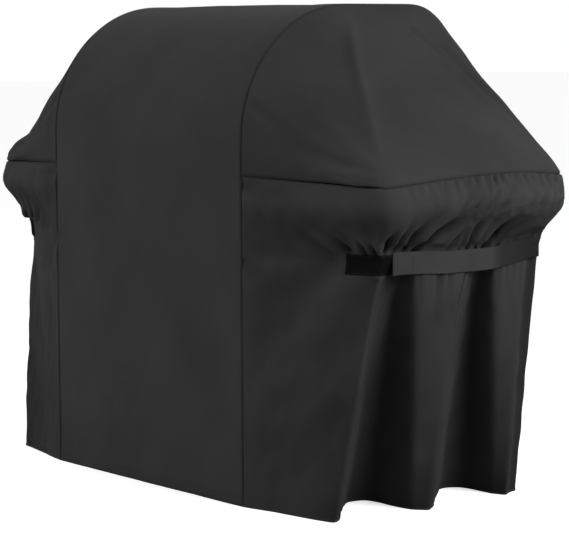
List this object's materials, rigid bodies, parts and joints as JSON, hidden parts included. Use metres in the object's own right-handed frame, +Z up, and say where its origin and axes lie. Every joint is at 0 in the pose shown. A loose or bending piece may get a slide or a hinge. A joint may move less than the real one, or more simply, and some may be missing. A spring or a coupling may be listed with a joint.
{
  "type": "grill cover",
  "caption": "Black cloth cover for a cart grill: rounded lid hump, ends sloping down over the side shelves, hanging skirts with soft folds, and a hook-and-loop strap on each side.",
  "frame": {"origin": "middle of the opening at the bottom, in the plane of the hem", "axes": "+X to the cover's right across the side shelves, +Y from the front to the back, +Z up"},
  "size_m": [1.524, 0.635, 1.13],
  "materials": {
    "shell_cloth": "black coated woven polyester, matt",
    "binding_tape": "black woven seam tape, matt",
    "hem_cloth": "black coated woven polyester, turned up and stitched",
    "strap_webbing": "black ribbed webbing, slightly paler than the shell",
    "loop_tape": "deep black brushed loop pile",
    "hook_tape": "deep black hook tape"
  },
  "bodies": {
    "cover": {"centre_panel": "shell_cloth", "front_hem": "hem_cloth", "back_hem": "hem_cloth", "right_hood_panel": "shell_cloth", "right_skirt_panel": "shell_cloth", "right_seam_binding": "binding_tape", "right_shoulder_binding": "binding_tape", "right_skirt_hem": "hem_cloth", "right_loop_patch": "loop_tape", "right_strap_anchor": "strap_webbing", "left_hood_panel": "shell_cloth", "left_skirt_panel": "shell_cloth", "left_seam_binding": "binding_tape", "left_shoulder_binding": "binding_tape", "left_skirt_hem": "hem_cloth", "left_loop_patch": "loop_tape", "left_strap_anchor": "strap_webbing"},
    "right_strap": {"right_strap": "strap_webbing"},
    "right_strap_tip": {"right_strap_tip": "strap_webbing", "right_hook_tape": "hook_tape"},
    "left_strap": {"left_strap": "strap_webbing"},
    "left_strap_tip": {"left_strap_tip": "strap_webbing", "left_hook_tape": "hook_tape"}
  },
  "joints": [
    {"name": "right_strap_swing", "type": "hinge", "parent": "cover", "child": "right_strap", "pos_m": [0.7123, 0.258, 0.565], "axis": [0, 0, 1], "range_deg": [0, 150]},
    {"name": "right_strap_tip_peel", "type": "hinge", "parent": "right_strap", "child": "right_strap_tip", "pos_m": [0.7123, -0.102, 0.565], "axis": [0, 0, 1], "range_deg": [0, 150]},
    {"name": "left_strap_swing", "type": "hinge", "parent": "cover", "child": "left_strap", "pos_m": [-0.7123, 0.258, 0.565], "axis": [0, 0, -1], "range_deg": [0, 150]},
    {"name": "left_strap_tip_peel", "type": "hinge", "parent": "left_strap", "child": "left_strap_tip", "pos_m": [-0.7123, -0.102, 0.565], "axis": [0, 0, -1], "range_deg": [0, 150]}
  ]
}
